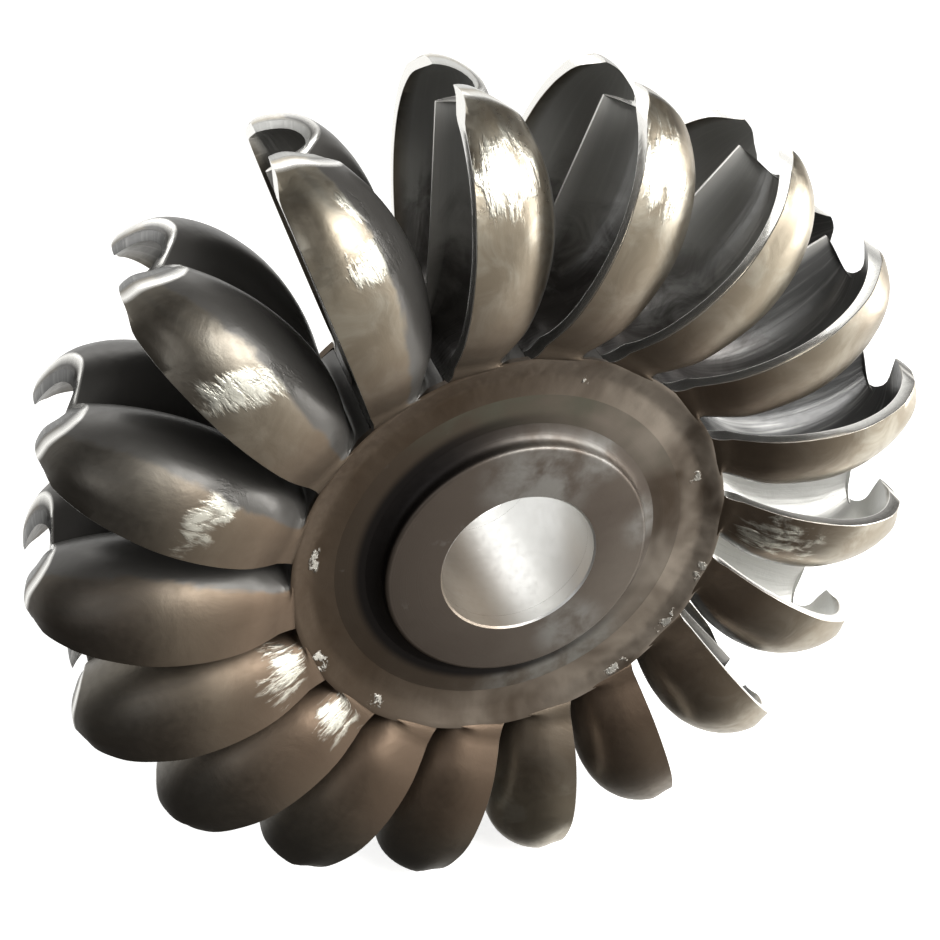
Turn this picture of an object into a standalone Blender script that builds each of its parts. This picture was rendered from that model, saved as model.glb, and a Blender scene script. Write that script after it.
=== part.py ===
"""Impulse turbine runner: a disc with a bored hub and eighteen double-cup buckets.

Metres, +Z up. The wheel's axis is Y, its front face looks to -Y, and it stands on the
tips of its two lowest buckets. The origin is the wheel's centre.
"""

import math

import bmesh
import bpy
from mathutils import Matrix, Vector

# Whole wheel
TIP_RADIUS = 0.760
BUCKETS = 18
PITCH = math.tau / BUCKETS
SEAT_GAP = 0.0003

# Disc and hub
BORE_RADIUS = 0.131
DISC_HALF_WIDTH = 0.124
DISC_FLAT_RADIUS = 0.3405
HUB_FACE_RADIUS = 0.225
HUB_FOOT_RADIUS = 0.250
HUB_HEIGHT = 0.0305
HUB_EDGE = 0.003
BORE_CHAMFER = 0.003
DISC_EDGE = 0.005
ROUND_SIDES = 72

# Bucket, measured in its mouth plane: s runs inward from the horn tips, v is the
# distance from the middle plane, w is the depth behind the mouth plane
LEAN = math.radians(10.0)
SPLITTER_DROP = 0.003
SPLITTER_HALF_WIDTH = 0.0028
INNER_FULLNESS = 2.3
OUTER_FULLNESS = 2.2
ROOT_FULLNESS = 3.2
FOOT_FULLNESS = 12.0
BACK_GROOVE = 0.60
ROOT_TURN = math.radians(1.7)
ROOT_HALF_WIDTH = 0.125
COLLAR_RADIUS = 0.364
COLLAR_HALF_WIDTH = 0.137
FLARE_STEPS = 3
INNER_STEPS = 6
SIDE_ANGLES = (0.0, 20.0, 40.0, 65.0, 90.0)
BACK_STEPS = 3

# (s, half width of the rim's outer edge, of the shell, of the mouth, outer depth, inner depth)
STATIONS = (
    (0.000, 0.094, 0.109, 0.050, 0.064, 0.036),
    (0.010, 0.117, 0.131, 0.074, 0.077, 0.052),
    (0.024, 0.141, 0.156, 0.103, 0.090, 0.069),
    (0.044, 0.164, 0.178, 0.133, 0.104, 0.085),
    (0.074, 0.189, 0.197, 0.163, 0.120, 0.102),
    (0.114, 0.208, 0.212, 0.187, 0.134, 0.115),
    (0.164, 0.222, 0.222, 0.201, 0.143, 0.122),
    (0.214, 0.223, 0.223, 0.202, 0.144, 0.121),
    (0.266, 0.214, 0.214, 0.192, 0.137, 0.110),
    (0.312, 0.197, 0.197, 0.174, 0.123, 0.086),
    (0.348, 0.174, 0.174, 0.150, 0.105, 0.052),
    (0.370, 0.157, 0.157, 0.128, 0.096, 0.020),
)
NOTCH_FADE = 0.100
# How far the notch is cut in from the horn tips, from the splitter to the rim
NOTCH = (0.036, 0.037, 0.037, 0.032, 0.018, 0.004, 0.000, 0.000)
# The horn tips are rounded off this deep below the mouth plane, over this length
TIP_DROP = 0.012
TIP_ROUND = 0.030


def clear_scene():
    for item in list(bpy.data.objects):
        bpy.data.objects.remove(item, do_unlink=True)


def finish(name, colour, roughness, metallic):
    """A Principled material with one colour."""
    made = bpy.data.materials.new(name)
    made.use_nodes = True
    shader = made.node_tree.nodes["Principled BSDF"]
    shader.inputs["Base Color"].default_value = (*colour, 1.0)
    shader.inputs["Roughness"].default_value = roughness
    shader.inputs["Metallic"].default_value = metallic
    return made


def mesh_from(name, build, material):
    """A mesh filled by build, with outward faces."""
    shape = bmesh.new()
    build(shape)
    bmesh.ops.recalc_face_normals(shape, faces=shape.faces)
    mesh = bpy.data.meshes.new(name)
    shape.to_mesh(mesh)
    shape.free()
    mesh.materials.append(material)
    mesh.shade_smooth()
    mesh.set_sharp_from_angle(angle=math.radians(35.0))
    return mesh


def place(name, mesh, turn=0.0, parent=None):
    """A mesh as its own object, turned about the wheel's axis."""
    made = bpy.data.objects.new(name, mesh)
    made.rotation_euler = (0.0, -turn, 0.0)
    made.parent = parent
    bpy.context.scene.collection.objects.link(made)
    return made


def between(table, column, at):
    """Reads a column of a table whose first column rises, with a smooth curve between rows."""
    last = len(table) - 1
    at = min(max(at, table[0][0]), table[last][0])
    row = max(i for i in range(last) if table[i][0] <= at or i == 0)
    before = table[max(row - 1, 0)]
    low = table[row]
    high = table[row + 1]
    after = table[min(row + 2, last)]
    span = high[0] - low[0]
    share = (at - low[0]) / span
    low_slope = (high[column] - before[column]) / (high[0] - before[0]) * span
    high_slope = (after[column] - low[column]) / (after[0] - low[0]) * span
    return (
        (2 * share**3 - 3 * share**2 + 1) * low[column]
        + (share**3 - 2 * share**2 + share) * low_slope
        + (3 * share**2 - 2 * share**3) * high[column]
        + (share**3 - share**2) * high_slope
    )


def eased(share):
    share = min(max(share, 0.0), 1.0)
    return share * share * (3.0 - 2.0 * share)


def bulge(angle, fullness):
    """A point on a quarter of a rounded square of size one."""
    return (
        max(math.cos(angle), 0.0) ** (2.0 / fullness),
        max(math.sin(angle), 0.0) ** (2.0 / fullness),
    )


def section(s, squareness=None):
    """Half the bucket's outline at s, from the splitter round the rim to the back.

    squareness is the shell's, its own at s if none is given.
    """
    rim = between(STATIONS, 1, s)
    shell = between(STATIONS, 2, s)
    mouth = between(STATIONS, 3, s)
    outer = between(STATIONS, 4, s)
    inner = between(STATIONS, 5, s)
    rooted = eased((s - STATIONS[7][0]) / (STATIONS[-1][0] - STATIONS[7][0]))
    fullness = squareness or OUTER_FULLNESS + (ROOT_FULLNESS - OUTER_FULLNESS) * rooted**2
    groove = BACK_GROOVE + (1.0 - BACK_GROOVE) * rooted
    drop = SPLITTER_DROP * (1.0 - rooted)
    path = [(0.0, drop)]
    middle = (mouth + SPLITTER_HALF_WIDTH) / 2.0
    reach = (mouth - SPLITTER_HALF_WIDTH) / 2.0
    for i in range(INNER_STEPS + 1):
        turn = math.pi * i / INNER_STEPS
        across, down = bulge(min(turn, math.pi - turn), INNER_FULLNESS)
        v = middle - reach * across if turn < math.pi / 2.0 else middle + reach * across
        left = 1.0 - (v - SPLITTER_HALF_WIDTH) / (mouth - SPLITTER_HALF_WIDTH)
        path.append((v, inner * down + drop * left))
    for angle in SIDE_ANGLES:
        across, down = bulge(math.radians(angle), fullness)
        widest = shell if angle else rim
        path.append((widest / 2.0 * (1.0 + across), outer * down))
    for i in range(1, BACK_STEPS + 1):
        share = i / BACK_STEPS
        v = shell / 2.0 * (1.0 - share)
        hump = math.cos(math.pi / 2.0 * share)
        path.append((v, outer * (groove + (1.0 - groove) * hump)))
    return path


def in_wheel(s, v, w):
    """From the bucket's mouth plane to the wheel: X outward, Y along the axis, Z round."""
    return Vector(
        (
            TIP_RADIUS - s * math.cos(LEAN) - w * math.sin(LEAN),
            -v,
            s * math.sin(LEAN) - w * math.cos(LEAN),
        )
    )


def cup_ring(s):
    """The half outline at station s, bent in at the notch."""
    kept = 1.0 - eased(s / NOTCH_FADE)
    ring = []
    for i, notch in enumerate(NOTCH + NOTCH[::-1]):
        at = s + notch * kept
        v, w = section(at)[i]
        rounded = TIP_DROP * (1.0 - eased(at / TIP_ROUND))
        ring.append(in_wheel(at, v, max(w, rounded)))
    return ring


def foot_ring(radius, half_width):
    """The half outline of the flat-sided foot, which fills its share of the wheel there."""
    reach = radius * math.tan(PITCH / 2.0) - SEAT_GAP
    path = section(STATIONS[-1][0], FOOT_FULLNESS)
    depth = max(w for _, w in path)
    widest = max(v for v, _ in path)
    turn = Matrix.Rotation(-ROOT_TURN, 3, "Y")
    ring = []
    for i, (v, w) in enumerate(path):
        behind = w if i >= len(NOTCH) else 0.0
        side = reach * (1.0 - 2.0 * behind / depth)
        ring.append(turn @ Vector((radius, -v * half_width / widest, side)))
    return ring


def flare(near, far, share):
    """The outline part of the way from the cups to the foot, hollow like a fillet."""
    ring = []
    for start, end in zip(near, far):
        point = start.lerp(end, share**2)
        point.x = start.x + (end.x - start.x) * share
        ring.append(point)
    return ring


def half_bucket(shape):
    """Half a bucket, open along the middle plane, as rings of points from tip to foot."""
    rings = [cup_ring(station[0]) for station in STATIONS]
    last = rings[-1]
    collar = foot_ring(COLLAR_RADIUS, COLLAR_HALF_WIDTH)
    for i in range(1, FLARE_STEPS):
        rings.append(flare(last, collar, i / FLARE_STEPS))
    rings.append(collar)
    rings.append(foot_ring(DISC_FLAT_RADIUS + SEAT_GAP, ROOT_HALF_WIDTH))
    grid = [[shape.verts.new(point) for point in ring] for ring in rings]
    for near, far in zip(grid, grid[1:]):
        for i in range(len(near) - 1):
            shape.faces.new((near[i], near[i + 1], far[i + 1], far[i]))
    for end in (grid[0], grid[-1]):
        close_end(shape, end)


def close_end(shape, ring):
    """Bridges a half outline's inner line to its outer line."""
    last = len(ring) - 1
    for i in range(last // 2):
        shape.faces.new((ring[i], ring[i + 1], ring[last - i - 1], ring[last - i]))


def whole_bucket(shape):
    """Both halves of a bucket, joined in the middle plane."""
    half_bucket(shape)
    bmesh.ops.mirror(
        shape,
        geom=shape.verts[:] + shape.edges[:] + shape.faces[:],
        axis="Y",
        merge_dist=0.00001,
    )


def ring_of(shape, profile, sides, start=0.0):
    """Turns a closed profile of (radius, y) points about the wheel's axis."""
    rings = []
    for i in range(sides):
        angle = start + math.tau * i / sides
        rings.append(
            [
                shape.verts.new((r * math.cos(angle), y, r * math.sin(angle)))
                for r, y in profile
            ]
        )
    for i, ring in enumerate(rings):
        after = rings[(i + 1) % sides]
        for j in range(len(profile)):
            k = (j + 1) % len(profile)
            shape.faces.new((ring[j], ring[k], after[k], after[j]))


def disc(shape):
    """The plain disc: bored, with one flat on its rim for each bucket."""
    rings = []
    for i in range(ROUND_SIDES):
        angle = ROOT_TURN + PITCH / 2.0 + math.tau * i / ROUND_SIDES
        off = (angle - ROOT_TURN + PITCH / 2.0) % PITCH - PITCH / 2.0
        rim = DISC_FLAT_RADIUS / math.cos(off)
        rings.append(
            [
                shape.verts.new((r * math.cos(angle), y, r * math.sin(angle)))
                for r, y in (
                    (BORE_RADIUS, -DISC_HALF_WIDTH),
                    (rim - DISC_EDGE, -DISC_HALF_WIDTH),
                    (rim, DISC_EDGE - DISC_HALF_WIDTH),
                    (rim, DISC_HALF_WIDTH - DISC_EDGE),
                    (rim - DISC_EDGE, DISC_HALF_WIDTH),
                    (BORE_RADIUS, DISC_HALF_WIDTH),
                )
            ]
        )
    for i, ring in enumerate(rings):
        after = rings[(i + 1) % ROUND_SIDES]
        for j in range(len(ring)):
            k = (j + 1) % len(ring)
            shape.faces.new((ring[j], ring[k], after[k], after[j]))


def hub(shape, side):
    """A raised ring on one face of the disc. side is -1 at the front and 1 at the back."""
    low = DISC_HALF_WIDTH + SEAT_GAP
    top = DISC_HALF_WIDTH + HUB_HEIGHT
    fillet = HUB_FOOT_RADIUS - HUB_FACE_RADIUS
    profile = [
        (BORE_RADIUS, low),
        (HUB_FOOT_RADIUS, low),
        (HUB_FOOT_RADIUS - 0.55 * fillet, low + 0.18 * HUB_HEIGHT),
        (HUB_FOOT_RADIUS - 0.85 * fillet, low + 0.45 * HUB_HEIGHT),
        (HUB_FACE_RADIUS, top - HUB_EDGE),
        (HUB_FACE_RADIUS - HUB_EDGE, top),
        (BORE_RADIUS + BORE_CHAMFER, top),
        (BORE_RADIUS, top - BORE_CHAMFER),
    ]
    ring_of(shape, [(r, side * y) for r, y in profile], ROUND_SIDES, ROOT_TURN + PITCH / 2.0)


def main():
    clear_scene()
    disc_steel = finish("disc_steel", (0.20, 0.17, 0.145), 0.48, 0.9)
    hub_steel = finish("hub_steel", (0.24, 0.21, 0.18), 0.42, 0.9)
    cup_steel = finish("cup_steel", (0.46, 0.43, 0.37), 0.28, 1.0)
    wheel = place("disc", mesh_from("disc", disc, disc_steel))
    place("hub_front", mesh_from("hub_front", lambda shape: hub(shape, -1), hub_steel), parent=wheel)
    place("hub_rear", mesh_from("hub_rear", lambda shape: hub(shape, 1), hub_steel), parent=wheel)
    bucket_mesh = mesh_from("bucket", whole_bucket, cup_steel)
    for i in range(BUCKETS):
        place(f"bucket_{i + 1:02d}", bucket_mesh, PITCH * i, wheel)


main()
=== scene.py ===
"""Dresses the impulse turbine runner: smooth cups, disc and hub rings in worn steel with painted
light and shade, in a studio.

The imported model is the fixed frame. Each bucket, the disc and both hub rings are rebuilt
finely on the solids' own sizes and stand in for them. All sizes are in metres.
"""

import logging
import math
from collections.abc import Callable, Sequence
from dataclasses import dataclass, field
from enum import Enum
from functools import partial

import bpy
import numpy as np
from mathutils import Euler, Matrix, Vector, noise

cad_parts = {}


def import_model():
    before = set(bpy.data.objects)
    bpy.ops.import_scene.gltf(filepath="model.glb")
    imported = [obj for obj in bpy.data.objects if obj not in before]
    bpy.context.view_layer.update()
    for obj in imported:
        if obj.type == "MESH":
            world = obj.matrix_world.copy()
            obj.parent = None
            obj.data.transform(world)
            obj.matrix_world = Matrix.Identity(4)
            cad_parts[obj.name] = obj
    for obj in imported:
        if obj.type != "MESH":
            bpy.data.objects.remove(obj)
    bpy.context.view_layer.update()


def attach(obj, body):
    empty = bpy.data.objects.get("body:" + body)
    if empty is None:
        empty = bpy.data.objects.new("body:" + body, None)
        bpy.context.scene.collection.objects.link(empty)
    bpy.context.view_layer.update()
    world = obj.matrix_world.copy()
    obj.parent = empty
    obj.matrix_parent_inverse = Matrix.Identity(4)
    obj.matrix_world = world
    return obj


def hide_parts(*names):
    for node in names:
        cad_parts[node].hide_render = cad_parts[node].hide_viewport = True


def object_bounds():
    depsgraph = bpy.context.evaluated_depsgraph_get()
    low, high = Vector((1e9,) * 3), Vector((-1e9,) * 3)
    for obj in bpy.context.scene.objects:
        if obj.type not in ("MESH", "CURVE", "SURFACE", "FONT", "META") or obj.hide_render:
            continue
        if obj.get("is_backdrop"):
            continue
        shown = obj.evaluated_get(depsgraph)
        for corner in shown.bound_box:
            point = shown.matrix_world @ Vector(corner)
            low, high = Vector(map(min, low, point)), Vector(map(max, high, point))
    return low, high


LOG = logging.getLogger("runner")

BODY = "root"
BUCKETS = 18
PITCH = math.tau / BUCKETS
# The gap that the solids keep between them, and half the disc's width
SEAT_GAP = 0.0003
DISC_HALF = 0.124

# Edges sharper than this stay sharp
SHARP = math.radians(40.0)
THIRD = 1.0 / 3.0
# Painted shade: the disc's left side takes its stain colour, which fades out
# from the first to the second place, left to right
SHADED = (-0.22, 0.34)
# Past the middle of a shell's back, so nowhere
NOWHERE = 1.2

Socket = bpy.types.NodeSocket
Point = tuple[float, float]
Place = tuple[float, float, float]
Colour = tuple[float, float, float]


class Slot(Enum):
    """The record's material slots."""

    DISC = "disc_steel"
    HUB = "hub_steel"
    CUP = "cup_steel"


class Face(Enum):
    """A side of the wheel, as the sign of y there."""

    FRONT = -1
    REAR = 1


class Mark(Enum):
    """The values kept on a mesh's vertices, which the finishes read."""

    INSIDE = "inside"
    BAND = "band"
    EDGE = "edge"
    REACH = "reach"
    # Painted highlights on the shells, and the bright ground lumps on the welds
    GROUND = "ground"
    # Where a shell's back is painted dark: painted shade for the next bucket's dark cup reflected
    # there
    BACK = "back"
    # Darker towards the tip, on some buckets
    DULL = "dull"
    # Painted shade deep in the cups near the root, on some buckets
    SOOT = "soot"
    # Painted sheen, bucket by bucket: on the cups and on the shells
    SHINE_IN = "shine_in"
    SHINE_OUT = "shine_out"
    WARM = "warm"


def eased(share: float) -> float:
    """Smooth rise from 0 to 1, held at its ends."""
    share = min(max(share, 0.0), 1.0)
    return share * share * (3.0 - 2.0 * share)


def curve(table: Sequence[Sequence[float]], column: int, at: float) -> float:
    """Reads a column of a table whose first column rises, with a smooth curve between rows.

    Args:
        table: rows of numbers.
        column: which number of each row is read.
        at: where, in the units of the first column.

    Returns:
        The value there.
    """
    last = len(table) - 1
    at = min(max(at, table[0][0]), table[last][0])
    row = max(i for i in range(last) if table[i][0] <= at or i == 0)
    before = table[max(row - 1, 0)]
    low = table[row]
    high = table[row + 1]
    after = table[min(row + 2, last)]
    span = high[0] - low[0]
    share = (at - low[0]) / span
    low_slope = (high[column] - before[column]) / (high[0] - before[0]) * span
    high_slope = (after[column] - low[column]) / (after[0] - low[0]) * span
    return (
        (2 * share**3 - 3 * share**2 + 1) * low[column]
        + (share**3 - 2 * share**2 + share) * low_slope
        + (3 * share**2 - 2 * share**3) * high[column]
        + (share**3 - share**2) * high_slope
    )


def bulge(angle: float, fullness: float) -> Point:
    """A point on a quarter of a rounded square of size one, a circle where fullness is 2."""
    power = 2.0 / fullness
    return max(math.cos(angle), 0.0) ** power, max(math.sin(angle), 0.0) ** power


class Tree:
    """The nodes of a material or of the room, with short calls for the ones in use."""

    def __init__(
        self, owner: bpy.types.ID, shader: str = "Principled BSDF", place: str = "Object"
    ) -> None:
        """Takes over the nodes of a new material or world.

        Args:
            owner: the material or world.
            shader: the name of its shader's node.
            place: the coordinates that its noise and places are read by.
        """
        owner.use_nodes = True
        self.owner = owner
        self.nodes = owner.node_tree.nodes
        self.links = owner.node_tree.links
        self.shader = self.nodes[shader]
        self.place = self.node("TexCoord", place, {})

    def put(self, target: Socket, value: object) -> None:
        """Links a socket to an input, or sets the input to a value.

        Args:
            target: the input.
            value: a socket, a number or a colour.
        """
        if isinstance(value, Socket):
            self.links.new(value, target)
        elif isinstance(value, tuple) and len(value) == 3 and target.type == "RGBA":
            target.default_value = (*value, 1.0)
        else:
            target.default_value = value

    def node(
        self, kind: str, output: str | int, inputs: dict[str | int, object], **settings: object
    ) -> Socket:
        """Adds a node.

        Args:
            kind: what follows ShaderNode in its type's name.
            output: the output that is wanted.
            inputs: sockets or values for its inputs.
            settings: values for its properties.

        Returns:
            The output.
        """
        made = self.nodes.new(f"ShaderNode{kind}")
        for name, value in settings.items():
            setattr(made, name, value)
        for name, value in inputs.items():
            self.put(made.inputs[name], value)
        return made.outputs[output]

    def surface(self, **values: object) -> None:
        """Links or sets the shader's own sockets, named with _ for a space."""
        for name, value in values.items():
            self.put(self.shader.inputs[name.replace("_", " ")], value)

    def attribute(self, mark: Mark) -> Socket:
        """A value kept on the mesh."""
        return self.node("Attribute", "Fac", {}, attribute_name=mark.value)

    def scaled(self, source: Socket, by: Place) -> Socket:
        """Coordinates multiplied by three numbers."""
        return self.node("Mapping", "Vector", {"Vector": source, "Scale": by})

    def lay(self, across: float, along: float) -> Socket:
        """Coordinates that follow a bucket's own lay, scaled round its outline and along it."""
        return self.scaled(self.node("UVMap", "UV", {}, uv_map="lay"), (across, along, 1.0))

    def noise(
        self,
        scale: float,
        detail: float = 4.0,
        rough: float = 0.55,
        warp: float = 0.0,
        source: Socket | None = None,
    ) -> Socket:
        """Cloudy noise.

        Args:
            scale: how fine it is.
            detail: how many octaves it has.
            rough: how strong the fine ones are.
            warp: how much it is twisted.
            source: coordinates, the object's own if none are given.

        Returns:
            A number between 0 and 1.
        """
        source = self.place if source is None else source
        inputs = {"Vector": source, "Scale": scale, "Detail": detail}
        return self.node("TexNoise", "Fac", {**inputs, "Roughness": rough, "Distortion": warp})

    def rings(self, per_metre: float) -> Socket:
        """Turning marks: noise that runs round the wheel's axis, so many to a metre."""
        inputs = {"W": self.radius(), "Scale": per_metre, "Detail": 3.0}
        return self.node("TexNoise", "Fac", inputs, noise_dimensions="1D")

    def step(self, value: Socket, low: float, high: float, to: Point = (0.0, 1.0)) -> Socket:
        """Eases a value from one range to another, and holds it at the ends.

        Args:
            value: the number.
            low: where it starts to rise.
            high: where it ends.
            to: what it rises from and to.

        Returns:
            The new number.
        """
        inputs = {"Value": value, "From Min": low, "From Max": high}
        inputs |= {"To Min": to[0], "To Max": to[1]}
        return self.node("MapRange", "Result", inputs, interpolation_type="SMOOTHSTEP")

    def sum(self, kind: str, a: object, b: object) -> Socket:
        """Does one sum, such as MULTIPLY, and holds its result between 0 and 1."""
        return self.node("Math", 0, {0: a, 1: b}, operation=kind, use_clamp=True)

    def mix(self, share: object, a: object, b: object) -> Socket:
        """Blends two colours. share is how much of the second one shows."""
        return self.node("Mix", "Result", {"Factor": share, "A": a, "B": b}, data_type="RGBA")

    def blend(self, share: object, a: object, b: object) -> Socket:
        """Blends two numbers, as mix does colours."""
        return self.node("Mix", "Result", {"Factor": share, "A": a, "B": b}, data_type="FLOAT")

    def radius(self) -> Socket:
        """Distance from the wheel's axis, in metres."""
        flat = self.scaled(self.place, (1.0, 0.0, 1.0))
        return self.node("VectorMath", "Value", {0: flat}, operation="LENGTH")

    def facing(self, way: Place | Vector) -> Socket:
        """How far a point lies from the centre in one direction, in metres."""
        return self.node("VectorMath", "Value", {0: self.place, 1: way}, operation="DOT_PRODUCT")

    def near(self, spot: Place, reach: float) -> Socket:
        """A round spot, 1 round its middle and 0 from reach outwards."""
        away = self.node("VectorMath", "Value", {0: self.place, 1: spot}, operation="DISTANCE")
        return self.step(away, 0.35 * reach, reach, (1.0, 0.0))

    def stained_and_shaded(self, clouds: Socket, base: Colour, stain: Colour) -> Socket:
        """A colour with stains in clouds, and with painted shade towards the left of the wheel.

        Args:
            clouds: cloudy noise.
            base: the clean colour.
            stain: the stained one.

        Returns:
            The colour.
        """
        colour = self.mix(self.step(clouds, 0.30, 0.72), base, stain)
        # Painted shade: the left of the wheel takes the stain colour, darker where less light
        # falls
        across = self.step(self.facing((1.0, 0.0, -0.2)), *SHADED, (0.95, 0.0))
        return self.mix(across, colour, stain)

    def bump(self, layers: Sequence[tuple[Socket, float]]) -> None:
        """Stacks bumps and gives them to the shader.

        Args:
            layers: heights between 0 and 1, each with its depth in metres.
        """
        under: dict[str, Socket] = {}
        for height, depth in layers:
            inputs = {"Height": height, "Distance": depth, **under}
            under = {"Normal": self.node("Bump", "Normal", inputs)}
        self.surface(**under)


@dataclass(frozen=True)
class CupFinish:
    """Cast and ground steel of the buckets: dark cups, ground shells, bright rims, painted light
    and shade.
    """

    shell: Colour = (0.395, 0.352, 0.272)
    shell_brown: Colour = (0.165, 0.118, 0.084)
    # Painted shade at the roots, where the buckets crowd together near the disc
    shell_root_shade: Colour = (0.125, 0.100, 0.074)
    shell_tip: Colour = (0.125, 0.118, 0.105)
    # Painted highlight: the bright colour of reflections on the shells
    shell_highlight: Colour = (0.82, 0.81, 0.72)
    # Painted shade: the dark back of the shells, standing in for the next bucket's dark cup
    # reflected
    back: Colour = (0.100, 0.096, 0.090)
    cup: Colour = (0.105, 0.105, 0.105)
    # Painted reflection: the light tone that brightens the cups
    cup_highlight: Colour = (0.74, 0.74, 0.71)
    # Painted shade: the dark deep in the cups towards the root
    soot: Colour = (0.050, 0.040, 0.036)
    rim: Colour = (0.84, 0.83, 0.80)
    ridge: Colour = (0.70, 0.69, 0.66)
    shell_gloss: Point = (0.46, 0.30)
    root_gloss: float = 0.50
    glare_gloss: float = 0.40
    back_gloss: float = 0.34
    cup_gloss: float = 0.33
    rim_gloss: float = 0.20

    def shell_colour(self, tree: Tree, patches: Socket, painted_glare: Socket) -> Socket:
        """Colour of the shell: khaki, browner to the root and darker there in painted shade,
        darker at some tips, with painted highlights.

        Args:
            tree: the material's tree.
            patches: cloudy noise.
            painted_glare: where bright patches are painted on the shell, painted highlights of
                bright reflections.

        Returns:
            The colour.
        """
        warm = tree.attribute(Mark.WARM)
        reach = tree.attribute(Mark.REACH)
        clouds = tree.noise(3.2, 2.0, 0.45, 0.3)
        brown = tree.sum("MULTIPLY", tree.step(clouds, 0.25, 0.70, (0.25, 1.0)), warm)
        colour = tree.mix(brown, self.shell, self.shell_brown)
        streaks = tree.noise(1.0, 3.0, 0.5, 0.3, tree.lay(24.0, 3.0))
        colour = tree.mix(tree.step(streaks, 0.46, 0.74, (0.0, 0.45)), colour, self.shell_tip)
        # Painted sheen: bright mottling on the shell, stronger on some buckets
        shine = tree.step(patches, 0.40, 0.70, (0.0, 0.36))
        shine = tree.sum("MULTIPLY", shine, tree.attribute(Mark.SHINE_OUT))
        colour = tree.mix(shine, colour, self.shell_highlight)
        # Darker towards the tip, on some buckets
        dull = tree.sum("ADD", reach, tree.step(patches, 0.3, 0.7, (0.0, 0.12)))
        dull = tree.step(dull, 0.16, 0.90, (1.0, 0.0))
        dull = tree.sum("MULTIPLY", dull, tree.attribute(Mark.DULL))
        colour = tree.mix(dull, colour, self.shell_tip)
        # Painted shade: the shell darkens towards its root, where the buckets crowd together
        root = tree.step(reach, 0.30, 0.92, (0.0, 0.92))
        colour = tree.mix(root, colour, tree.mix(warm, self.shell_root_shade, self.shell_brown))
        return tree.mix(painted_glare, colour, self.shell_highlight)

    def cup_colour(self, tree: Tree, patches: Socket, strokes: Socket) -> Socket:
        """Colour of the cups: dark, with painted reflections where they shine and painted shade
        towards some roots.

        Args:
            tree: the material's tree.
            patches: cloudy noise.
            strokes: noise drawn out from tip to root.

        Returns:
            The colour.
        """
        # Painted reflections: cups brightened bucket by bucket and in light streaks
        colour = tree.mix(tree.attribute(Mark.SHINE_IN), self.cup, self.cup_highlight)
        colour = tree.mix(tree.step(strokes, 0.50, 0.78, (0.0, 0.30)), colour, self.cup_highlight)
        # Painted shade: the cups darken towards the root, where the next bucket's shell shades
        # them
        cup_shaded = tree.step(patches, 0.3, 0.7, (-0.15, 0.15))
        cup_shaded = tree.step(tree.sum("ADD", tree.attribute(Mark.REACH), cup_shaded), 0.40, 0.95)
        cup_shaded = tree.sum("MULTIPLY", cup_shaded, tree.attribute(Mark.SOOT))
        return tree.mix(cup_shaded, colour, self.soot)

    def material(self) -> bpy.types.Material:
        """Builds the material.

        Returns:
            The material.
        """
        tree = Tree(bpy.data.materials.new("cup_steel_worn_painted_light"))
        inside = tree.attribute(Mark.INSIDE)
        band = tree.attribute(Mark.BAND)
        patches = tree.noise(13.0, 5.0, 0.6, 0.9)
        strokes = tree.noise(1.0, 3.0, 0.5, 0.2, tree.lay(90.0, 5.0))
        hatch = tree.noise(1.0, 4.0, 0.62, 0.4, tree.lay(70.0, 24.0))
        # Painted highlights: bright patches of reflected light, their edges cut rough by noise
        worn = tree.step(patches, 0.25, 0.75, (0.38, 0.0))
        worn = tree.sum("ADD", worn, tree.step(hatch, 0.34, 0.66, (0.50, 0.0)))
        painted_glare = tree.step(tree.sum("SUBTRACT", tree.attribute(Mark.GROUND), worn), 0.0, 0.62)
        # Painted shade: the shell's back turns dark, standing in for the next bucket's dark cup
        # reflected
        back_shade = tree.step(patches, 0.30, 0.70, (0.0, 0.25))
        back_shade = tree.step(tree.sum("ADD", tree.attribute(Mark.BACK), back_shade), 0.40, 0.70)
        colour = tree.mix(back_shade, self.shell_colour(tree, patches, painted_glare), self.back)
        colour = tree.mix(inside, colour, self.cup_colour(tree, patches, strokes))
        colour = tree.mix(tree.attribute(Mark.EDGE), colour, self.ridge)
        colour = tree.mix(band, colour, self.rim)
        gloss = tree.blend(tree.attribute(Mark.SHINE_OUT), *self.shell_gloss)
        for share, other in (
            (tree.step(tree.attribute(Mark.REACH), 0.3, 1.0), self.root_gloss),
            (painted_glare, self.glare_gloss),
            (back_shade, self.back_gloss),
            (inside, self.cup_gloss),
            (band, self.rim_gloss),
        ):
            gloss = tree.blend(share, gloss, other)
        grain = tree.step(tree.noise(80.0, 3.0, 0.5), 0.30, 0.80, (-0.03, 0.05))
        metal = tree.blend(inside, tree.blend(back_shade, 0.95, 0.40), 0.50)
        metal = tree.blend(band, metal, 0.95)
        tree.surface(Base_Color=colour, Roughness=tree.sum("ADD", gloss, grain), Metallic=metal)
        tree.bump(
            (
                (tree.noise(4.0, 2.0, 0.45, 0.3), 0.0012),
                (patches, 0.0009),
                (tree.sum("MULTIPLY", painted_glare, patches), 0.0016),
                (tree.sum("MULTIPLY", inside, strokes), 0.0007),
                (tree.noise(1.0, 3.0, 0.5, 0.0, tree.lay(300.0, 16.0)), 0.00004),
            )
        )
        return tree.owner


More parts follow.
